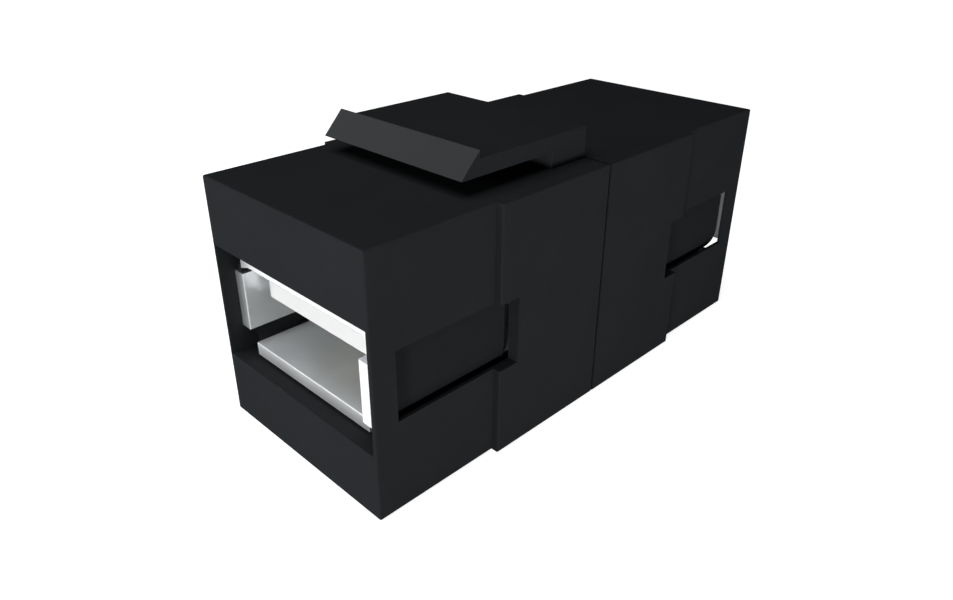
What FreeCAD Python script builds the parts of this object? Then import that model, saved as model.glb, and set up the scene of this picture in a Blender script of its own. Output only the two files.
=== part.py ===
import FreeCAD, Part
import os

# A snap-in coupler module for a wall plate: a black housing in two halves, with a socket at each end.
# Millimetres. Y runs from the front mouth (-Y) to the rear mouth (+Y), Z is up, and X is across.
# The origin is under the middle of the module: the seam between the halves is the plane Y = 0.
# Depths are counted inwards from the end face. Each end's pieces are modelled at the front,
# and the rear ones are the same pieces turned half a turn about Z.

V = FreeCAD.Vector

# Socket shell, folded from thin sheet: its mouth fits the plug
port_width = 12.4
port_height = 5.12
sheet = 0.3
shell_corner = 0.64
shell_depth = 1.0
corner_slot_length = 5.0
side_lip_reach = 0.89
level_lip_reach = 0.85
lip_edge_round = 0.06
top_lip_overhang = 0.69
top_lip_foot = 0.23
proud_lip_depth = 0.12
tab_length = 1.85
tab_above_board = 0.48

# Carrier around the shell
carrier_setback = 0.04
carrier_length = 8.76
carrier_side_wall = 0.34
carrier_floor_wall = 0.66
carrier_ceiling_wall = 0.92
carrier_side_clearance = 0.27
carrier_level_clearance = 0.1
carrier_corner = 2.4
carrier_lead = 0.2
carrier_horn_clearance = 0.08

# Housing around the carrier
nose_height = 16.0
module_length = 35.9
nose_length = 8.69
shoulder_step = 0.49
side_wall = 0.24
edge_round = 0.12
seam_groove_width = 0.2
seam_groove_depth = 0.2

# Windows in the side walls
window_front_depth = 1.56
window_length = 8.61
window_height = 4.29
window_sill = 1.56

# Insulator with its tongue
tongue_side_gap = 0.65
tongue_thickness = 1.84
tongue_depth = 2.33
tongue_top_below_shell = 0.62
insulator_block = 1.5
tongue_chamfer = 0.06

# Contacts, in grooves under the tongue
contact_width = 1.0
contact_sheet = 0.25
contact_groove_depth = 0.2
contact_groove_clearance = 0.05
inner_contact_offset = 1.0
outer_contact_offset = 3.5
contact_start = 1.2
contact_bow = 0.5
contact_bow_length = 3.2
contact_tail = 1.9

# Circuit board between the two sockets
shell_gap = 6.9
board_thickness = 1.0
board_clearance = 0.1
solder_width = 0.3
solder_height = 0.22

# Inside of the housing
stop_thickness = 1.0
stop_clearance = 0.16
ledge_overlap = 1.0
ledge_thickness = 1.0
pin_radius = 0.8
pin_length = 2.0
pin_root = 1.0
pin_clearance = 0.05
pin_end_gap = 0.2
pin_inset = 1.85

# Latch on top of the front half
latch_inset = 1.42
latch_gap = 1.0
latch_thickness = 0.97
latch_tip_depth = 7.5
ramp_run = 1.4
catch_height = 0.5
root_length = 3.15
barrel_radius = 0.3
barrel_clearance = 0.03
latch_edge_round = 0.06

# Worked out from the values above
half_length = module_length / 2
shell_end_depth = half_length - shell_gap / 2
carrier_half_width = port_width / 2 + sheet + carrier_side_wall
carrier_height = port_height + 2 * sheet + carrier_floor_wall + carrier_ceiling_wall
cavity_half_width = carrier_half_width + carrier_side_clearance
nose_half_width = cavity_half_width + side_wall
middle_half_width = nose_half_width + shoulder_step
mouth_height = carrier_height + 2 * carrier_level_clearance
mouth_floor_z = (nose_height - mouth_height) / 2
mouth_ceiling_z = mouth_floor_z + mouth_height
window_sill_z = mouth_floor_z + window_sill
port_floor_z = mouth_floor_z + carrier_level_clearance + carrier_floor_wall + sheet
port_ceiling_z = port_floor_z + port_height
port_centre_z = (port_floor_z + port_ceiling_z) / 2
carrier_front_depth = shell_depth + sheet + carrier_setback
carrier_end_depth = carrier_front_depth + carrier_length
tongue_top_z = port_ceiling_z - tongue_top_below_shell
tongue_floor_z = tongue_top_z - tongue_thickness
tongue_half_width = port_width / 2 - tongue_side_gap
block_depth = shell_end_depth - insulator_block
contact_top_z = tongue_floor_z + contact_groove_depth
board_top_z = contact_top_z - contact_sheet
board_floor_z = board_top_z - board_thickness
board_half_length = shell_gap / 2 - board_clearance
board_half_width = port_width / 2
contact_offsets = [-outer_contact_offset, -inner_contact_offset, inner_contact_offset, outer_contact_offset]
latch_floor_z = nose_height + latch_gap
latch_top_z = latch_floor_z + latch_thickness
latch_half_width = nose_half_width - latch_inset
root_y = -root_length
hinge_z = latch_floor_z + barrel_radius


def at_depth(depth):
    """The Y of a place that lies this deep behind the front end face."""
    return depth - half_length


def block(x0, x1, y0, y1, z0, z1):
    """A box between two opposite corners."""
    return Part.makeBox(x1 - x0, y1 - y0, z1 - z0, V(x0, y0, z0))


def rounded_tube_core(half_width, z0, z1, y0, y1, corner):
    """A solid bar along Y, with its four long edges rounded."""
    bar = block(-half_width, half_width, y0, y1, z0, z1)
    long_edges = [e for e in bar.Edges if abs(e.tangentAt(e.FirstParameter).y) > 0.9]
    return bar.makeFillet(corner, long_edges)


def side_profile(points, x0, x1):
    """A closed outline given as (y, z) points, made solid from x0 to x1."""
    corners = [V(x0, y, z) for y, z in points]
    face = Part.Face(Part.makePolygon(corners + corners[:1]))
    return face.extrude(V(x1 - x0, 0, 0))


def turned_to_rear(shape):
    """The same piece at the rear end: half a turn about the vertical axis."""
    copy = shape.copy()
    copy.rotate(V(0, 0, 0), V(0, 0, 1), 180)
    return copy


def outer_body():
    """The outside of one half: the nose, and the wider middle section up to the seam."""
    overlap = shoulder_step + edge_round
    nose_back = at_depth(nose_length) + overlap
    nose = block(-nose_half_width, nose_half_width, at_depth(0), nose_back, 0, nose_height)
    outside_edges = [e for e in nose.Edges if e.BoundBox.YMin < at_depth(nose_length)]
    nose = nose.makeFillet(edge_round, outside_edges)
    middle = block(-middle_half_width, middle_half_width, at_depth(nose_length), 0, 0, nose_height)
    shoulder_edges = [e for e in middle.Edges if e.BoundBox.YMin < -seam_groove_width
                      and abs(e.BoundBox.XLength) < edge_round]
    middle = middle.makeFillet(edge_round, shoulder_edges)
    return nose.fuse(middle).removeSplitter()


def seam_groove():
    """The half of the fine groove round the seam that lies on this side of it."""
    groove_y = -seam_groove_width / 2
    wide = middle_half_width + edge_round
    ring = block(-wide, wide, groove_y, 0, -edge_round, nose_height + edge_round)
    inside = block(-middle_half_width + seam_groove_depth, middle_half_width - seam_groove_depth,
                   groove_y, 0, seam_groove_depth, nose_height - seam_groove_depth)
    return ring.cut(inside)


def side_windows():
    """The opening in each side wall: one bar from side to side cuts both."""
    reach = middle_half_width + edge_round
    y0 = at_depth(window_front_depth)
    return block(-reach, reach, y0, y0 + window_length, window_sill_z, window_sill_z + window_height)


def carrier_stops():
    """Ribs on the cavity's floor and ceiling, behind the carrier, clear of the shell."""
    y0 = at_depth(carrier_end_depth)
    low_top = port_floor_z - sheet - stop_clearance
    high_floor = port_ceiling_z + sheet + stop_clearance
    low = block(-cavity_half_width, cavity_half_width, y0, y0 + stop_thickness, mouth_floor_z, low_top)
    high = block(-cavity_half_width, cavity_half_width, y0, y0 + stop_thickness, high_floor, mouth_ceiling_z)
    return [low, high]


def board_ledges():
    """Shelves on the side walls that carry the circuit board's edges."""
    inner = board_half_width - ledge_overlap
    y0 = -board_half_length
    z0 = board_floor_z - ledge_thickness
    right = block(inner, cavity_half_width, y0, 0, z0, board_floor_z)
    left = block(-cavity_half_width, -inner, y0, 0, z0, board_floor_z)
    return [right, left]


def housing_half():
    """One half of the housing, open from its mouth to the seam."""
    cavity = block(-cavity_half_width, cavity_half_width, at_depth(0), 0, mouth_floor_z, mouth_ceiling_z)
    half = outer_body().cut(cavity).cut(side_windows()).cut(seam_groove())
    return half.fuse(carrier_stops() + board_ledges())


def pin_places():
    """The register pins' centres: in the thick bars above and below the cavity."""
    low_z = mouth_floor_z / 2
    high_z = (mouth_ceiling_z + nose_height) / 2
    aside = nose_half_width - pin_inset
    return [(x, z) for x in (-aside, aside) for z in (low_z, high_z)]


def latch_root():
    """The block that the latch arm springs from, with the round seat of its hinge."""
    half = latch_half_width
    root = block(-half, half, root_y, -seam_groove_width / 2, nose_height, latch_top_z)
    back_edges = [e for e in root.Edges if e.BoundBox.YMin > root_y and e.BoundBox.ZMax > nose_height]
    root = root.makeFillet(latch_edge_round, [e for e in back_edges if e.BoundBox.ZMin > nose_height])
    seat = Part.makeCylinder(barrel_radius + barrel_clearance, 2 * half,
                             V(-half, root_y, hinge_z), V(1, 0, 0))
    return root.cut(seat)


def front_housing():
    """The front half: mouth, windows, latch root and the four register pins."""
    half = housing_half().fuse(latch_root())
    pins = [Part.makeCylinder(pin_radius, pin_root + pin_length, V(x, -pin_root, z), V(0, 1, 0))
            for x, z in pin_places()]
    return half.fuse(pins).removeSplitter()


def rear_housing():
    """The rear half, with the sockets that take the register pins."""
    half = turned_to_rear(housing_half())
    depth = pin_length + pin_end_gap
    sockets = [Part.makeCylinder(pin_radius + pin_clearance, depth, V(x, 0, z), V(0, 1, 0))
               for x, z in pin_places()]
    return half.cut(sockets).removeSplitter()


def latch_arm():
    """The sprung arm: a flat tongue with a ramp and a catch at its tip, and a barrel at its root."""
    tip_y = at_depth(latch_tip_depth)
    ridge_y = tip_y + ramp_run
    ridge_z = latch_top_z + catch_height
    end_y = root_y - barrel_clearance
    outline = [
        (tip_y, latch_floor_z),
        (end_y, latch_floor_z),
        (end_y, latch_top_z),
        (ridge_y, latch_top_z),
        (ridge_y, ridge_z),
    ]
    half = latch_half_width
    arm = side_profile(outline, -half, half)
    tip_edges = [e for e in arm.Edges if e.BoundBox.YMax < tip_y + latch_edge_round
                 and e.BoundBox.XLength > half]
    arm = arm.makeFillet(latch_edge_round, tip_edges)
    barrel = Part.makeCylinder(barrel_radius, 2 * half, V(-half, root_y, hinge_z), V(1, 0, 0))
    return arm.fuse(barrel).removeSplitter()


def level_outline(points, y0, y1):
    """A closed outline given as (x, z) points, made solid from y0 to y1."""
    corners = [V(x, y0, z) for x, z in points]
    face = Part.Face(Part.makePolygon(corners + corners[:1]))
    return face.extrude(V(0, y1 - y0, 0))


def lip(inner_distance, half_width, depth, reach, overhang=0, foot=0):
    """One wall of the mouth with its turned-out lip, drawn as the bottom wall under a port axis at Z = 0.

    The wall runs forward and turns outwards in a sharp bend. A lip with an overhang is wider than the wall,
    and has feet at both ends that point inwards.
    """
    front = at_depth(depth)
    inner = -inner_distance
    tip = inner - reach
    back = at_depth(shell_depth + corner_slot_length)
    wall = block(-half_width, half_width, front, back, inner - sheet, inner)
    wide = half_width + overhang
    line = [(-half_width, inner), (half_width, inner)]
    if overhang:
        line = [(-wide, inner + foot)] + line + [(wide, inner + foot)]
    flange = level_outline(line + [(wide, tip), (-wide, tip)], front, front + sheet)
    shape = wall.fuse(flange).removeSplitter()
    bend = [e for e in shape.Edges if e.BoundBox.YMax < front + lip_edge_round
            and abs(e.BoundBox.ZMax - inner) < lip_edge_round and e.BoundBox.XLength > half_width]
    return shape.makeFillet(lip_edge_round, bend)


def placed_lip(shape, turn):
    """Turns a lip about the port axis, from the bottom wall to its own wall, and lifts it into place."""
    copy = shape.copy()
    copy.rotate(V(0, 0, 0), V(0, 1, 0), turn)
    copy.translate(V(0, 0, port_centre_z))
    return copy


def socket_shell():
    """The folded sheet shell: a tube behind, and four separate sprung walls with lips in front."""
    y0 = at_depth(shell_depth + corner_slot_length)
    y1 = at_depth(shell_end_depth)
    half_width = port_width / 2
    half_height = port_height / 2
    outside = rounded_tube_core(half_width + sheet, port_floor_z - sheet, port_ceiling_z + sheet,
                                y0, y1, shell_corner + sheet)
    inside = rounded_tube_core(half_width, port_floor_z, port_ceiling_z, y0, y1, shell_corner)
    tube = outside.cut(inside)
    flat_across = half_width - shell_corner
    flat_up = half_height - shell_corner
    bottom = lip(half_height, flat_across, shell_depth, level_lip_reach)
    top = lip(half_height, flat_across, shell_depth, level_lip_reach, top_lip_overhang, top_lip_foot)
    left = lip(half_width, flat_up, shell_depth, side_lip_reach)
    right = lip(half_width, flat_up, proud_lip_depth, side_lip_reach)
    walls = [placed_lip(bottom, 0), placed_lip(top, 180), placed_lip(left, 90), placed_lip(right, -90)]
    return tube.fuse(walls + solder_tabs()).removeSplitter()


def solder_tabs():
    """A tab behind each side wall of the shell, standing beside the circuit board's edge."""
    y0 = at_depth(shell_end_depth)
    inner = port_width / 2
    z0 = board_floor_z + board_clearance / 2
    z1 = board_top_z + tab_above_board
    right = block(inner, inner + sheet, y0, y0 + tab_length, z0, z1)
    left = block(-inner - sheet, -inner, y0, y0 + tab_length, z0, z1)
    return [right, left]


def carrier_bar(y0, y1):
    """A solid bar with the carrier's outline."""
    low = mouth_floor_z + carrier_level_clearance
    return rounded_tube_core(carrier_half_width, low, low + carrier_height, y0, y1, carrier_corner)


def carrier_horns():
    """The parts of the carrier's two upper corners that reach forward between the lips."""
    y0 = at_depth(shell_depth + carrier_setback)
    y1 = at_depth(carrier_front_depth + carrier_lead)
    inner = port_width / 2 - shell_corner + top_lip_overhang + carrier_horn_clearance
    z0 = port_ceiling_z - shell_corner + carrier_horn_clearance
    bar = carrier_bar(y0, y1)
    right = block(inner, carrier_half_width, y0, y1, z0, port_ceiling_z)
    left = block(-carrier_half_width, -inner, y0, y1, z0, port_ceiling_z)
    return [bar.common(right), bar.common(left)]


def carrier():
    """The black sleeve that holds the shell, just behind its lips, with the shell's outline cut out.

    The outer edges of its front end are chamfered as a lead into the housing.
    """
    y0 = at_depth(carrier_front_depth)
    y1 = at_depth(carrier_end_depth)
    sleeve = carrier_bar(y0, y1)
    front_edges = [e for e in sleeve.Edges if e.BoundBox.YMax < y0 + carrier_lead]
    sleeve = sleeve.makeChamfer(carrier_lead, front_edges)
    bore = rounded_tube_core(port_width / 2 + sheet, port_floor_z - sheet, port_ceiling_z + sheet,
                             y0, y1, shell_corner + sheet)
    return sleeve.cut(bore).fuse(carrier_horns()).removeSplitter()


def contact(offset):
    """A sprung contact strip: flat in its groove, bowed down near its tip, with a flat tail."""
    top = contact_top_z
    low = contact_top_z - contact_sheet
    y0 = at_depth(tongue_depth + contact_start)
    bow_mid = y0 + contact_sheet + contact_bow_length / 2
    bow_end = y0 + contact_sheet + contact_bow_length
    tail_end = at_depth(shell_end_depth) + contact_tail
    outline = [
        (y0, low),
        (y0 + contact_sheet, low),
        (bow_mid, low - contact_bow),
        (bow_end, low),
        (tail_end, low),
        (tail_end, top),
        (bow_end, top),
        (bow_mid, top - contact_bow),
        (y0 + contact_sheet, top),
        (y0, top),
    ]
    return side_profile(outline, offset - contact_width / 2, offset + contact_width / 2)


def insulator():
    """The white insulator: a block that closes the shell's back, and the tongue with its grooves."""
    y0 = at_depth(block_depth)
    body = rounded_tube_core(port_width / 2, port_floor_z, port_ceiling_z, y0,
                             at_depth(shell_end_depth), shell_corner)
    tongue = block(-tongue_half_width, tongue_half_width, at_depth(tongue_depth), y0,
                   tongue_floor_z, tongue_top_z)
    front_edges = [e for e in tongue.Edges if e.BoundBox.YMax < at_depth(tongue_depth) + tongue_chamfer
                   and e.BoundBox.XLength > tongue_chamfer]
    body = body.fuse(tongue.makeChamfer(tongue_chamfer, front_edges))
    for offset in contact_offsets:
        half = contact_width / 2
        slot = block(offset - half, offset + half, y0, at_depth(shell_end_depth),
                     board_top_z, contact_top_z)
        wide = half + contact_groove_clearance
        groove = block(offset - wide, offset + wide,
                       at_depth(tongue_depth + contact_start) - contact_groove_clearance, y0,
                       tongue_floor_z - contact_sheet, contact_top_z)
        body = body.cut(slot).cut(groove)
    return body


def circuit_board():
    """The board between the sockets."""
    return block(-board_half_width, board_half_width, -board_half_length, board_half_length,
                 board_floor_z, board_top_z)


def solder_wedge(x, away, y0, y1):
    """A fillet of solder on the board, against an upright face at x, thinning out in one direction."""
    points = [
        V(x, y0, board_top_z),
        V(x + away * solder_width, y0, board_top_z),
        V(x, y0, board_top_z + solder_height),
    ]
    return Part.Face(Part.makePolygon(points + points[:1])).extrude(V(0, y1 - y0, 0))


def solder_joints():
    """Solder on both sides of each contact's tail and inside each shell tab, as separate solids."""
    y0 = -board_half_length + board_clearance
    y1 = at_depth(shell_end_depth) + contact_tail
    wedges = []
    for offset in contact_offsets:
        for side in (-1, 1):
            wedges.append(solder_wedge(offset + side * contact_width / 2, side, y0, y1))
    for side in (-1, 1):
        tab_end = at_depth(shell_end_depth) + tab_length
        wedges.append(solder_wedge(side * board_half_width, -side, y0, tab_end))
    return Part.makeCompound(wedges)


def save(name, shape):
    """Writes one piece, and stops if it isn't a sound solid."""
    if not shape.isValid() or not shape.Solids:
        raise ValueError(name + " is not a sound solid")
    shape.exportStep("parts/" + name + ".step")
    print("%-18s solids %2d  volume %9.3f  z %6.2f to %6.2f" % (
        name, len(shape.Solids), shape.Volume, shape.BoundBox.ZMin, shape.BoundBox.ZMax))


def main():
    os.makedirs("parts", exist_ok=True)
    save("front_housing", front_housing())
    save("rear_housing", rear_housing())
    save("latch_arm", latch_arm())
    ends = {
        "carrier": carrier(),
        "shell": socket_shell(),
        "insulator": insulator(),
        "solder": solder_joints(),
    }
    for number, offset in enumerate(contact_offsets, start=1):
        ends["contact_%d" % number] = contact(offset)
    for name, shape in ends.items():
        save("front_" + name, shape)
        save("rear_" + name, turned_to_rear(shape))
    save("circuit_board", circuit_board())


main()
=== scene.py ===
"""Dresses the snap-in coupler module: moulded black housing, plated socket shells, white insulators,
gold-flashed contacts, a small circuit board, and a white studio seen from the photograph's side."""
import math

import bpy
import numpy as np
from mathutils import Matrix, Vector


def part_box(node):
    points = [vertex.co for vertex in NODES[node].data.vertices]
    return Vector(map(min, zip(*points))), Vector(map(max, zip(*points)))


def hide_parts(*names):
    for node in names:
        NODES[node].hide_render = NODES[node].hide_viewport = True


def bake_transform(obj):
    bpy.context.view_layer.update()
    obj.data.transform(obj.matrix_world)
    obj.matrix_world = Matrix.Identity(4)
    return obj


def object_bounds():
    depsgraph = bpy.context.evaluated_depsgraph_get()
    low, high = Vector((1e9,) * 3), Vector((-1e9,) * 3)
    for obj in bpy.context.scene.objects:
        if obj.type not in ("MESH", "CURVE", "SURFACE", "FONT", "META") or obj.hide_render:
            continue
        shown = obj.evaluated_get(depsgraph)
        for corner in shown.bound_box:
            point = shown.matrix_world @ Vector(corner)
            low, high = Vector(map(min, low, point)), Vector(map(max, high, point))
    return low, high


bl_info = {
    "name": "Snap-in Coupler Module",
    "version": (1, 0, 0),
    "blender": (4, 5, 0),
    "location": "3D View > Sidebar > Coupler Module",
    "description": "Finishes a two-ended socket module and sets up a white studio for it",
    "category": "Object",
}

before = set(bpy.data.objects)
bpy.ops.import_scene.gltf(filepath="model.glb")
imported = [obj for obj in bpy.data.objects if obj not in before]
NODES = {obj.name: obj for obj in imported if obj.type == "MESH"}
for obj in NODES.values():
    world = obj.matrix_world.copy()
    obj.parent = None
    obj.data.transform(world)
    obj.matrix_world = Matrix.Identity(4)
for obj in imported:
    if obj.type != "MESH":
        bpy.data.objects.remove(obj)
cad_low, cad_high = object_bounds()
MM = 0.001
BARREL_RADIUS = 0.3 * MM  # of the latch arm's hinge, at its root
SKIN = 0.01 * MM  # how far the latch moulding covers the solids inside it


# Properties

def colour(name, description, value):
    """A colour property, in linear light."""
    return bpy.props.FloatVectorProperty(name=name, description=description, default=value, size=3,
                                         subtype="COLOR", min=0.0, max=1.0)


def length(name, description, value):
    """A length property, kept in metres."""
    return bpy.props.FloatProperty(name=name, description=description, default=value, unit="LENGTH",
                                   subtype="DISTANCE", min=0.0, precision=6)


def share(name, description, value):
    """A share from 0 to 1."""
    return bpy.props.FloatProperty(name=name, description=description, default=value, min=0.0, max=1.0,
                                   subtype="FACTOR")


def angle(name, description, degrees):
    """An angle property, given in degrees and kept in radians."""
    return bpy.props.FloatProperty(name=name, description=description, default=math.radians(degrees),
                                   unit="ROTATION", subtype="ANGLE")


def level(name, description, value):
    """A level of light: at 1, a surface turned to the lamp shows its colour as written."""
    return bpy.props.FloatProperty(name=name, description=description, default=value, min=0.0)


class CouplerFinishSettings(bpy.types.PropertyGroup):
    """Colours and surface sizes of the module's own materials."""
    housing_black: colour("Housing black", "Moulded plastic of both halves and the latch",
                          (0.0255, 0.0277, 0.0303))
    housing_roughness: share("Housing roughness", "How matte the housing is", 0.6)
    ramp_polish: share("Ramp polish", "How much the latch's ramp shines", 0.3)
    latch_depth: length("Latch depth", "How far behind the front face the latch's tip lies", 7.5 * MM)
    ramp_run: length("Ramp run", "Length of the ramp at the latch's tip", 1.4 * MM)
    arm_thickness: length("Arm thickness", "Thickness of the latch's arm", 0.97 * MM)
    root_inset: length("Root inset", "Distance from the latch's root to the seam", 0.1 * MM)
    latch_side_round: length("Latch side rounding", "Rounding of the latch's side edges", 0.012 * MM)
    latch_flex_length: length("Latch flex length", "Length of arm that bends, from its root", 2.0 * MM)
    grain_size: length("Grain size", "Width of one grain of the moulded surface", 0.11 * MM)
    carrier_black: colour("Carrier black", "Plastic of the sleeves round the sockets",
                          (0.0224, 0.0243, 0.0266))
    shell_metal: colour("Shell metal", "Nickel plating of the folded shells", (0.872, 0.894, 0.912))
    shell_roughness: share("Shell roughness", "How soft the plating's reflections are", 0.3)
    rolling_line: length("Rolling line", "Width of one rolling line in the sheet", 0.05 * MM)
    insulator_white: colour("Insulator white", "Moulded plastic of the tongues", (0.91, 0.915, 0.91))
    contact_gold: colour("Contact gold", "Flash on the contact's sprung end", (0.80, 0.74, 0.60))
    contact_tin: colour("Contact tin", "Plating on the contact's tail", (0.70, 0.70, 0.69))
    board_green: colour("Board green", "Solder mask of the circuit board", (0.018, 0.13, 0.055))
    board_edge: colour("Board edge", "Cut edge of the glass-fibre board", (0.42, 0.36, 0.17))
    solder_grey: colour("Solder", "Bright tin solder", (0.74, 0.75, 0.76))


class CouplerStudioSettings(bpy.types.PropertyGroup):
    """Camera and lamps."""
    camera_place: bpy.props.FloatVectorProperty(
        name="Camera place", description="Where the camera stands, in the module's frame",
        default=(33.03 * MM, -36.79 * MM, 30.37 * MM), size=3, unit="LENGTH", subtype="TRANSLATION")
    camera_azimuth: angle("Camera azimuth", "How far round to the module's right the camera stands", 45.134)
    camera_elevation: angle("Camera elevation", "How far down the camera looks", 27.304)
    camera_roll: angle("Camera roll", "How far the camera leans", 0.101)
    focal_length: bpy.props.FloatProperty(
        name="Focal length", description="Lens of the camera on a 36 mm wide sensor", default=29.333,
        unit="CAMERA", min=1.0)
    shift_x: bpy.props.FloatProperty(
        name="Shift X", description="Sideways shift of the picture", default=0.00737)
    shift_y: bpy.props.FloatProperty(
        name="Shift Y", description="Upward shift of the picture", default=-0.01108)
    floor_left_level: level("Floor left light", "Level of the low lamp at the front left", 0.251)
    front_left_level: level("Front left light", "Level of the raised lamp at the front left", 0.157)
    front_right_level: level("Front right light", "Level of the low lamp at the front right", 0.324)
    right_level: level("Right light", "Level of the small lamp close by on the right", 0.261)
    left_level: level("Left light", "Level of the low lamp on the left", 0.45)
    back_level: level("Back light", "Level of the low lamp behind", 0.45)
    top_level: level("Top light", "Level of the lamp overhead", 0.480)
    world_level: level("World light", "Even light from all round", 0.004)
    floor_glow: share("Floor glow", "Share of the floor's white near the module that is its own", 0.85)


# Shader helpers

class Wire:
    """A value in a node tree that Python arithmetic works on: each operator adds one Math node."""

    def __init__(self, finish, socket):
        self.finish = finish
        self.socket = socket

    def math(self, operation, *others):
        inputs = {index: value for index, value in enumerate((self,) + others)}
        return self.finish.add("ShaderNodeMath", {"operation": operation}, inputs)[0]

    def __add__(self, other):
        return self.math("ADD", other)

    def __sub__(self, other):
        return self.math("SUBTRACT", other)

    def __mul__(self, other):
        return self.math("MULTIPLY", other)

    def __rsub__(self, other):
        return self.finish.add("ShaderNodeMath", {"operation": "SUBTRACT"}, {0: other, 1: self})[0]

    __radd__ = __add__
    __rmul__ = __mul__

    def size(self):
        """The value without its sign."""
        return self.math("ABSOLUTE")

    def or_greater(self, other):
        """The greater of the two values."""
        return self.math("MAXIMUM", other)

    def above(self, limit):
        """1 where the value is greater than the limit, else 0."""
        return self.math("GREATER_THAN", limit)

    def below(self, limit):
        """1 where the value is less than the limit, else 0."""
        return self.math("LESS_THAN", limit)

    def ramp_between(self, low, high):
        """Goes smoothly from 0 at low to 1 at high."""
        return self.finish.add("ShaderNodeMapRange", {"interpolation_type": "SMOOTHSTEP"},
                               {"Value": self, "From Min": low, "From Max": high})["Result"]


class Outputs:
    """A new node's output sockets, by name or number."""

    def __init__(self, finish, node):
        self.finish = finish
        self.node = node

    def __getitem__(self, key):
        return Wire(self.finish, self.node.outputs[key])


class Finish:
    """A material being built: its node tree, and one way to add any node to it."""

    def __init__(self, name):
        self.material = bpy.data.materials.new(name)
        self.material.use_nodes = True
        self.tree = self.material.node_tree
        self.tree.nodes.clear()

    @classmethod
    def on(cls, holder):
        """The same helper on another holder of nodes, such as a world."""
        finish = cls.__new__(cls)
        finish.tree = holder.node_tree
        finish.tree.nodes.clear()
        return finish

    def add(self, kind, settings=None, inputs=None):
        """Adds a node: its settings first, then the values or links of its sockets."""
        node = self.tree.nodes.new(kind)
        for name, value in (settings or {}).items():
            setattr(node, name, value)
        for key, value in (inputs or {}).items():
            socket = node.inputs[key]
            if isinstance(value, Wire):
                self.tree.links.new(value.socket, socket)
            elif socket.type == "RGBA":
                socket.default_value = (*value, 1.0)
            else:
                socket.default_value = value
        return Outputs(self, node)

    def place(self):
        """Object coordinates: the module's own frame, in metres."""
        return self.add("ShaderNodeTexCoord")["Object"]

    def facing(self):
        """The three parts of the surface's own direction, in the module's frame."""
        return self.axes(self.add("ShaderNodeTexCoord")["Normal"])

    def axes(self, vector):
        """The three parts of a vector."""
        parts = self.add("ShaderNodeSeparateXYZ", inputs={"Vector": vector})
        return parts["X"], parts["Y"], parts["Z"]

    def stretched(self, vector, factors):
        """The vector with each part multiplied by its own factor."""
        return self.add("ShaderNodeVectorMath", {"operation": "MULTIPLY"},
                        {0: vector, 1: factors})["Vector"]

    def noise(self, vector, width, detail=2.0, roughness=0.5):
        """Smooth noise round 0.5 whose features are about as wide as the given length."""
        inputs = {"Vector": vector, "Scale": 1.0 / width, "Detail": detail, "Roughness": roughness}
        return self.add("ShaderNodeTexNoise", {"noise_dimensions": "3D"}, inputs)["Fac"]

    def mix(self, factor, first, second):
        """The first colour where the factor is 0, the second where it is 1."""
        return self.add("ShaderNodeMix", {"data_type": "RGBA"}, {0: factor, 6: first, 7: second})[2]

    def bump(self, height, distance, strength=1.0):
        """A normal bent by a height map, whose full height is the given distance."""
        return self.add("ShaderNodeBump", inputs={"Height": height, "Distance": distance,
                                                  "Strength": strength})["Normal"]

    def surface(self, **inputs):
        """Ends the material in a Principled shader; underscores in names stand for spaces."""
        named = {name.replace("_", " "): value for name, value in inputs.items()}
        shader = self.add("ShaderNodeBsdfPrincipled", inputs=named)["BSDF"]
        self.add("ShaderNodeOutputMaterial", inputs={"Surface": shader})
        return self.material


def dimmer(tone, factor):
    """A colour made darker or lighter by one factor."""
    return tuple(min(1.0, part * factor) for part in tone)


# Materials

def moulded_plastic(name, tone, roughness, grain, polish=None):
    """Black moulded plastic: a fine even grain and a faint cloudiness, without gloss.

    Where a polish is given, the latch's ramp has that much clear shine, as a face that slides past the
    panel's edge has.
    """
    finish = Finish(name)
    place = finish.place()
    fine = finish.noise(place, grain, detail=2.0)
    cloud = finish.noise(place, 4.0 * MM, detail=3.0, roughness=0.6)
    tint = finish.mix(cloud.ramp_between(0.3, 0.7), dimmer(tone, 0.97), dimmer(tone, 1.04))
    shine = {}
    if polish:
        shine = {"Coat_Weight": ramp_face(finish) * polish, "Coat_Roughness": 0.3}
    return finish.surface(
        Base_Color=tint,
        Roughness=roughness - 0.04 + 0.05 * fine + 0.03 * cloud,
        Normal=finish.bump(fine, 0.004 * MM, 0.5),
        Specular_IOR_Level=0.0,
        **shine,
    )


def ramp_face(finish):
    """1 on the latch's ramp, the only large face that looks forwards and up, else 0."""
    forwards_limit = -0.5
    upwards_limit = 0.4
    facing = finish.facing()
    return facing[1].below(forwards_limit) * facing[2].above(upwards_limit)


def bent_part(finish):
    """1 where the sheet is bent, so that it looks along none of the three axes, else 0."""
    flat_limit = 0.985
    x, y, z = finish.facing()
    return x.size().or_greater(y.size()).or_greater(z.size()).below(flat_limit)


def plated_sheet(name, tone, roughness, line):
    """Nickel-plated sheet: fine rolling lines along the module, slight clouding, and rougher bends whose
    colour is painted darker, painted shade that dims the bright line their reflection makes.
    """
    finish = Finish(name)
    place = finish.place()
    lines = finish.noise(finish.stretched(place, (1.0, 0.04, 1.0)), line, detail=2.0)
    cloud = finish.noise(place, 2.5 * MM, detail=2.0)
    tint = finish.mix(cloud.ramp_between(0.25, 0.75), dimmer(tone, 0.95), dimmer(tone, 1.04))
    bend = bent_part(finish)
    # Painted shade: the bends' colour is darkened to dim their bright reflection line; the extra roughness
    # at the bends is real.
    bend_painted_shade = dimmer(tone, 0.6)
    bend_roughness = 0.2
    return finish.surface(
        Base_Color=finish.mix(bend, tint, bend_painted_shade),
        Metallic=0.74,
        Roughness=roughness - 0.05 + 0.1 * lines + 0.04 * cloud + bend_roughness * bend,
        Normal=finish.bump(lines, 0.002 * MM, 0.4),
    )


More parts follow.
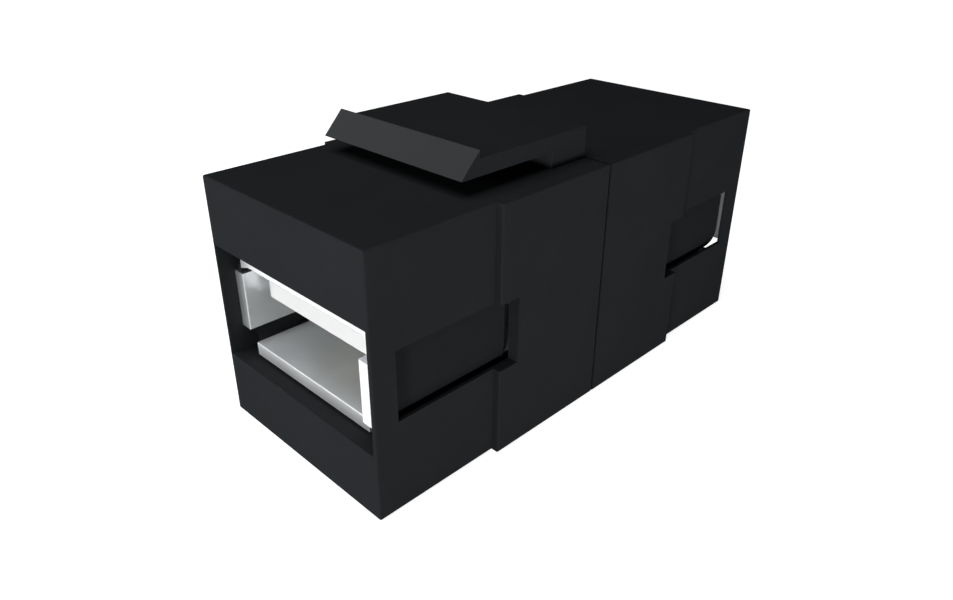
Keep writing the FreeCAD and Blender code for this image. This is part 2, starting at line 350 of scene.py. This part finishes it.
def white_plastic(name, tone):
    """White moulded plastic: nearly smooth, with a faint uneven warmth."""
    finish = Finish(name)
    place = finish.place()
    cloud = finish.noise(place, 3.0 * MM, detail=2.0)
    fine = finish.noise(place, 0.15 * MM, detail=1.0)
    tint = finish.mix(cloud.ramp_between(0.3, 0.7), dimmer(tone, 0.98), tone)
    return finish.surface(
        Base_Color=tint,
        Roughness=0.38 + 0.06 * fine,
        Normal=finish.bump(fine, 0.003 * MM, 0.3),
        Specular_IOR_Level=0.4,
    )


def contact_strip(name, gold, tin, change_y):
    """Contact strip: gold flash on the sprung end, tin on the tail towards the board."""
    finish = Finish(name)
    place = finish.place()
    along = finish.axes(place)[1].size()
    lines = finish.noise(finish.stretched(place, (1.0, 0.05, 1.0)), 0.06 * MM, detail=2.0)
    change_half = 0.3 * MM
    flashed = along.ramp_between(change_y - change_half, change_y + change_half)
    return finish.surface(
        Base_Color=finish.mix(flashed, tin, gold),
        Metallic=1.0,
        Roughness=0.2 + 0.12 * lines,
        Normal=finish.bump(lines, 0.002 * MM, 0.4),
    )


def board_material(name, green, edge_tone, solder, low, high, tracks):
    """Circuit board: green mask with raised tracks, tinned pads at both ends, and a bare cut edge."""
    finish = Finish(name)
    place = finish.place()
    across, along, up = finish.axes(place)
    track_half = 0.3 * MM
    track_slope = 0.08 * MM
    pad_length = 1.9 * MM
    rim = 0.05 * MM
    track = None
    for offset in tracks:
        one = 1.0 - (across - offset).size().ramp_between(track_half, track_half + track_slope)
        track = one if track is None else track.or_greater(one)
    pad = track * along.size().above(high[1] - pad_length)
    side = across.size().above(high[0] - rim).or_greater(along.size().above(high[1] - rim))
    cut = side * up.below(high[2] - rim) * up.above(low[2] + rim)
    weave = finish.noise(place, 0.25 * MM, detail=2.0)
    masked = finish.mix(track * 0.6, green, dimmer(green, 1.7))
    padded = finish.mix(pad, masked, solder)
    fibre = finish.mix(weave.ramp_between(0.35, 0.65), dimmer(edge_tone, 0.8), dimmer(edge_tone, 1.15))
    return finish.surface(
        Base_Color=finish.mix(cut, padded, fibre),
        Metallic=pad * (1.0 - cut),
        Roughness=0.32 + 0.4 * cut + 0.06 * weave,
        Normal=finish.bump(track * 0.8 + weave * 0.2, 0.03 * MM, 0.6),
    )


def solder_material(name, tone):
    """Bright solder, slightly frosted."""
    finish = Finish(name)
    frost = finish.noise(finish.place(), 0.12 * MM, detail=3.0, roughness=0.6)
    return finish.surface(
        Base_Color=finish.mix(frost, dimmer(tone, 0.85), tone),
        Metallic=1.0,
        Roughness=0.16 + 0.2 * frost,
        Normal=finish.bump(frost, 0.01 * MM, 0.5),
    )


def dress(names, material):
    """Gives each named piece the material in its only slot."""
    for name in names:
        mesh = NODES[name].data
        mesh.materials.clear()
        mesh.materials.append(material)


# New pieces

def soft_outline(corners, cuts, on_curve, between):
    """A closed outline with its corners eased, as one row of points.

    Each corner becomes the curve (1-s)(1-s)A + 2s(1-s)C + ssB for s from 0 to 1, where C is the corner and
    A and B lie on its two sides, the corner's cut away from it. on_curve is the number of points on a curve,
    and between the number on each straight run, evenly spaced.
    """
    before = np.roll(corners, 1, axis=0) - corners
    after = np.roll(corners, -1, axis=0) - corners
    start = corners + before * (cuts / np.linalg.norm(before, axis=1))[:, None]
    end = corners + after * (cuts / np.linalg.norm(after, axis=1))[:, None]
    s = np.linspace(0.0, 1.0, on_curve)[None, :, None]
    curves = (1 - s) ** 2 * start[:, None] + 2 * s * (1 - s) * corners[:, None] + s ** 2 * end[:, None]
    part = np.linspace(0.0, 1.0, between + 2)[None, 1:-1, None]
    runs = end[:, None] * (1 - part) + np.roll(start, -1, axis=0)[:, None] * part
    return np.concatenate([curves, runs], axis=1).reshape(-1, 2)


def bar_across(name, outline, half_width, edge):
    """A solid bar along X whose section is the outline of (y, z) points, with its side edges rounded.

    A point is the outline's point moved inwards by edge times (1 - cos a), at a distance from the middle of
    half_width - edge + edge times sin a, for a from 0 to a quarter turn at each side.
    """
    along = np.roll(outline, -1, axis=0) - np.roll(outline, 1, axis=0)
    along /= np.linalg.norm(along, axis=1)[:, None]
    inwards = np.stack([-along[:, 1], along[:, 0]], axis=1)
    turn = np.radians([90.0, 60.0, 30.0, 0.0])
    aside = half_width - edge + edge * np.sin(turn)
    moved = edge * (1 - np.cos(turn))
    aside = np.concatenate([-aside, aside[::-1]])
    moved = np.concatenate([moved, moved[::-1]])
    section = outline[:, None] + inwards[:, None] * moved[None, :, None]
    sideways = np.broadcast_to(aside[None, :, None], section.shape[:2] + (1,))
    points = np.concatenate([sideways, section], axis=2)
    rows, columns = points.shape[:2]
    index = np.arange(rows * columns).reshape(rows, columns)
    after = np.roll(index, -1, axis=0)
    faces = np.stack([index[:, :-1], after[:, :-1], after[:, 1:], index[:, 1:]], axis=-1).reshape(-1, 4)
    ends = [index[::-1, 0].tolist(), index[:, -1].tolist()]
    mesh = bpy.data.meshes.new(name)
    mesh.from_pydata(points.reshape(-1, 3).tolist(), [], faces.tolist() + ends)
    mesh.update()
    piece = bpy.data.objects.new(name, mesh)
    bpy.context.scene.collection.objects.link(piece)
    return piece


# Operators

class COUPLER_OT_dress_housing(bpy.types.Operator):
    """Give both halves their black moulded plastic"""
    bl_idname = "coupler.dress_housing"
    bl_label = "Dress Housing"

    def execute(self, context):
        values = context.scene.coupler_finish
        plastic = moulded_plastic("housing_plastic", values.housing_black, values.housing_roughness,
                                  values.grain_size)
        dress(["front_housing", "rear_housing"], plastic)
        return {"FINISHED"}


class COUPLER_OT_mould_latch(bpy.types.Operator):
    """Make the latch one moulding with the root that its arm springs from"""
    bl_idname = "coupler.mould_latch"
    bl_label = "Mould Latch"

    def execute(self, context):
        values = context.scene.coupler_finish
        low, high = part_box("latch_arm")
        seam_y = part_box("rear_housing")[0].y
        tip_y = cad_low.y + values.latch_depth
        ridge_y = tip_y + values.ramp_run
        root_y = high.y - BARREL_RADIUS
        arm_top = low.z + values.arm_thickness + SKIN
        root_sunk = 0.1 * MM
        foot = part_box("rear_housing")[1].z - root_sunk
        root_back = seam_y - values.root_inset + SKIN
        corners = np.array([
            (tip_y, low.z), (root_y - SKIN, low.z), (root_y - SKIN, foot), (root_back, foot),
            (root_back, arm_top), (ridge_y, arm_top), (ridge_y, high.z),
        ])
        sharp_cut, edge_cut, sunk_cut = 0.08 * MM, 0.06 * MM, 0.04 * MM
        cuts = np.array([sharp_cut, edge_cut, sunk_cut, sunk_cut, edge_cut, edge_cut, sharp_cut])
        outline = soft_outline(corners, cuts, on_curve=5, between=40)
        latch = bar_across("latch_moulding", outline, high.x + SKIN, values.latch_side_round)
        latch.data.materials.append(moulded_plastic(
            "latch_plastic", values.housing_black, values.housing_roughness, values.grain_size,
            values.ramp_polish))
        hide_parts("latch_arm")
        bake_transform(latch)
        return {"FINISHED"}


class COUPLER_OT_dress_carriers(bpy.types.Operator):
    """Give the sleeves round the sockets their own, slightly darker plastic"""
    bl_idname = "coupler.dress_carriers"
    bl_label = "Dress Carriers"

    def execute(self, context):
        values = context.scene.coupler_finish
        finer_grain = values.grain_size * 0.8
        plastic = moulded_plastic("carrier_plastic", values.carrier_black, values.housing_roughness,
                                  finer_grain)
        dress(["front_carrier", "rear_carrier"], plastic)
        return {"FINISHED"}


class COUPLER_OT_dress_shells(bpy.types.Operator):
    """Give the folded shells their nickel plating"""
    bl_idname = "coupler.dress_shells"
    bl_label = "Dress Shells"

    def execute(self, context):
        values = context.scene.coupler_finish
        plating = plated_sheet("shell_plating", values.shell_metal, values.shell_roughness,
                               values.rolling_line)
        dress(["front_shell", "rear_shell"], plating)
        return {"FINISHED"}


class COUPLER_OT_dress_insulators(bpy.types.Operator):
    """Give the tongues and their blocks white plastic"""
    bl_idname = "coupler.dress_insulators"
    bl_label = "Dress Insulators"

    def execute(self, context):
        plastic = white_plastic("insulator_plastic", context.scene.coupler_finish.insulator_white)
        dress(["front_insulator", "rear_insulator"], plastic)
        return {"FINISHED"}


class COUPLER_OT_dress_contacts(bpy.types.Operator):
    """Give every contact strip its gold flash and tinned tail"""
    bl_idname = "coupler.dress_contacts"
    bl_label = "Dress Contacts"

    def execute(self, context):
        values = context.scene.coupler_finish
        tin_past_board = 1.0 * MM
        change_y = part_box("circuit_board")[1].y + tin_past_board
        strip = contact_strip("contact_strip", values.contact_gold, values.contact_tin, change_y)
        dress([name for name in NODES if "_contact_" in name], strip)
        return {"FINISHED"}


class COUPLER_OT_dress_board(bpy.types.Operator):
    """Give the circuit board its mask, tracks and pads, and the joints their solder"""
    bl_idname = "coupler.dress_board"
    bl_label = "Dress Board"

    def execute(self, context):
        values = context.scene.coupler_finish
        low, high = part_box("circuit_board")
        strips = [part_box("front_contact_%d" % number) for number in range(1, 5)]
        tracks = [(a.x + b.x) / 2 for a, b in strips]
        board = board_material("board", values.board_green, values.board_edge, values.solder_grey,
                               low, high, tracks)
        dress(["circuit_board"], board)
        dress(["front_solder", "rear_solder"], solder_material("solder", values.solder_grey))
        return {"FINISHED"}


def soft_lamp(name, light, place, width, height):
    """A flat lamp that faces the middle of the module.

    A lamp of this power and distance gives a white face turned to it a brightness of the light's level:
    power is level times pi squared times distance squared.
    """
    middle = (cad_low + cad_high) / 2
    towards = middle - Vector(place)
    data = bpy.data.lights.new(name, "AREA")
    data.shape = "RECTANGLE"
    data.size = width
    data.size_y = height
    data.energy = light * math.pi ** 2 * towards.length_squared
    lamp = bpy.data.objects.new(name, data)
    lamp.location = place
    lamp.rotation_mode = "QUATERNION"
    lamp.rotation_quaternion = towards.to_track_quat("-Z", "Y")
    bpy.context.scene.collection.objects.link(lamp)


def camera_matrix(place, azimuth, elevation, roll):
    """The camera's place and turn: right, up and back directions from its three angles."""
    back = Vector((math.sin(azimuth) * math.cos(elevation), -math.cos(azimuth) * math.cos(elevation),
                   math.sin(elevation)))
    flat = Vector((math.cos(azimuth), math.sin(azimuth), 0.0))
    upright = back.cross(flat)
    right = flat * math.cos(roll) + upright * math.sin(roll)
    up = upright * math.cos(roll) - flat * math.sin(roll)
    turn = Matrix((right, up, back)).transposed().to_4x4()
    return Matrix.Translation(place) @ turn


def seen_directly(finish):
    """1 for what the camera, a reflection or a see-through piece looks at, 0 for the light it gives."""
    path = finish.add("ShaderNodeLightPath")
    seen = path["Is Camera Ray"].or_greater(path["Is Glossy Ray"])
    return seen.or_greater(path["Is Transmission Ray"])


def floor_material(glow):
    """White floor: it shows white to the camera and in reflections, and still takes the module's shadow.

    Far from the module, where the lamps don't reach, all of its white is its own.
    """
    near, far = 0.08, 0.25
    paint = (0.85, 0.85, 0.85)
    black, white = (0.0, 0.0, 0.0), (1.0, 1.0, 1.0)
    finish = Finish("studio_floor")
    distance = finish.add("ShaderNodeVectorMath", {"operation": "LENGTH"}, {0: finish.place()})["Value"]
    shown = finish.mix(distance.ramp_between(near, far), (glow, glow, glow), white)
    return finish.surface(
        Base_Color=paint,
        Roughness=1.0,
        Specular_IOR_Level=0.0,
        Emission_Color=finish.mix(seen_directly(finish), black, shown),
        Emission_Strength=1.0,
    )


class COUPLER_OT_build_studio(bpy.types.Operator):
    """Build the floor, the lamps, the white surroundings and the camera"""
    bl_idname = "coupler.build_studio"
    bl_label = "Build Studio"

    def execute(self, context):
        values = context.scene.coupler_studio
        self.build_floor(values)
        self.build_lamps(values)
        self.build_world(context, values)
        self.build_camera(context, values)
        return {"FINISHED"}

    def build_floor(self, values):
        """A wide floor just under the module."""
        half = 1.5
        corners = [(-half, -half, 0.0), (half, -half, 0.0), (half, half, 0.0), (-half, half, 0.0)]
        mesh = bpy.data.meshes.new("floor")
        mesh.from_pydata(corners, [], [(0, 1, 2, 3)])
        floor = bpy.data.objects.new("floor", mesh)
        mesh.materials.append(floor_material(values.floor_glow))
        bpy.context.scene.collection.objects.link(floor)

    def build_lamps(self, values):
        """Soft lamps: low ones all round, which leave the top dark, and a broad one overhead.

        Most of the front light comes from the left, so that the nose shades what stands back behind it.
        """
        soft_lamp("floor_left_lamp", values.floor_left_level,
                  place=(-0.16, -0.27, 0.008), width=0.12, height=0.016)
        soft_lamp("front_left_lamp", values.front_left_level,
                  place=(-0.15, -0.25, 0.085), width=0.12, height=0.06)
        soft_lamp("front_right_lamp", values.front_right_level,
                  place=(0.11, -0.26, 0.006), width=0.05, height=0.012)
        soft_lamp("right_lamp", values.right_level,
                  place=(0.07, -0.006, 0.005), width=0.012, height=0.008)
        soft_lamp("left_lamp", values.left_level,
                  place=(-0.30, 0.0, 0.012), width=0.10, height=0.02)
        soft_lamp("back_lamp", values.back_level,
                  place=(0.0, 0.30, 0.012), width=0.10, height=0.02)
        soft_lamp("top_lamp", values.top_level,
                  place=(0.0, -0.05, 0.12), width=0.10, height=0.10)

    def build_world(self, context, values):
        """Even light, with pure white where the camera or a reflection looks past the module."""
        world = bpy.data.worlds.new("studio_world")
        world.use_nodes = True
        finish = Finish.on(world)
        even = (values.world_level,) * 3
        shown = finish.mix(seen_directly(finish), even, (1.0, 1.0, 1.0))
        background = finish.add("ShaderNodeBackground", inputs={"Color": shown})["Background"]
        finish.add("ShaderNodeOutputWorld", inputs={"Surface": background})
        context.scene.world = world

    def build_camera(self, context, values):
        """The camera at the photograph's place, with the picture's shift."""
        data = bpy.data.cameras.new("studio_camera")
        data.sensor_width = 36.0
        data.lens = values.focal_length
        data.shift_x = values.shift_x
        data.shift_y = values.shift_y
        data.clip_start = 1.0 * MM
        data.clip_end = 10.0
        camera = bpy.data.objects.new("studio_camera", data)
        camera.matrix_world = camera_matrix(Vector(values.camera_place), values.camera_azimuth,
                                            values.camera_elevation, values.camera_roll)
        context.scene.collection.objects.link(camera)
        context.scene.camera = camera
        context.scene.view_settings.view_transform = "Standard"


class COUPLER_PT_panel(bpy.types.Panel):
    """Lists the module's steps in the sidebar"""
    bl_idname = "COUPLER_PT_panel"
    bl_label = "Coupler Module"
    bl_space_type = "VIEW_3D"
    bl_region_type = "UI"
    bl_category = "Coupler Module"

    def draw(self, context):
        layout = self.layout
        for step in STEPS:
            layout.operator(step.bl_idname)
        for group in (context.scene.coupler_finish, context.scene.coupler_studio):
            box = layout.box()
            for name in group.__annotations__:
                box.prop(group, name)


STEPS = (
    COUPLER_OT_dress_housing,
    COUPLER_OT_mould_latch,
    COUPLER_OT_dress_carriers,
    COUPLER_OT_dress_shells,
    COUPLER_OT_dress_insulators,
    COUPLER_OT_dress_contacts,
    COUPLER_OT_dress_board,
    COUPLER_OT_build_studio,
)
CLASSES = (CouplerFinishSettings, CouplerStudioSettings) + STEPS + (COUPLER_PT_panel,)


def register():
    for item in CLASSES:
        bpy.utils.register_class(item)
    bpy.types.Scene.coupler_finish = bpy.props.PointerProperty(type=CouplerFinishSettings)
    bpy.types.Scene.coupler_studio = bpy.props.PointerProperty(type=CouplerStudioSettings)


def unregister():
    del bpy.types.Scene.coupler_studio
    del bpy.types.Scene.coupler_finish
    for item in reversed(CLASSES):
        bpy.utils.unregister_class(item)


def main():
    """Registers the steps and runs them in order."""
    register()
    bpy.ops.coupler.dress_housing()
    bpy.ops.coupler.mould_latch()
    bpy.ops.coupler.dress_carriers()
    bpy.ops.coupler.dress_shells()
    bpy.ops.coupler.dress_insulators()
    bpy.ops.coupler.dress_contacts()
    bpy.ops.coupler.dress_board()
    bpy.ops.coupler.build_studio()


if __name__ == "__main__":
    main()
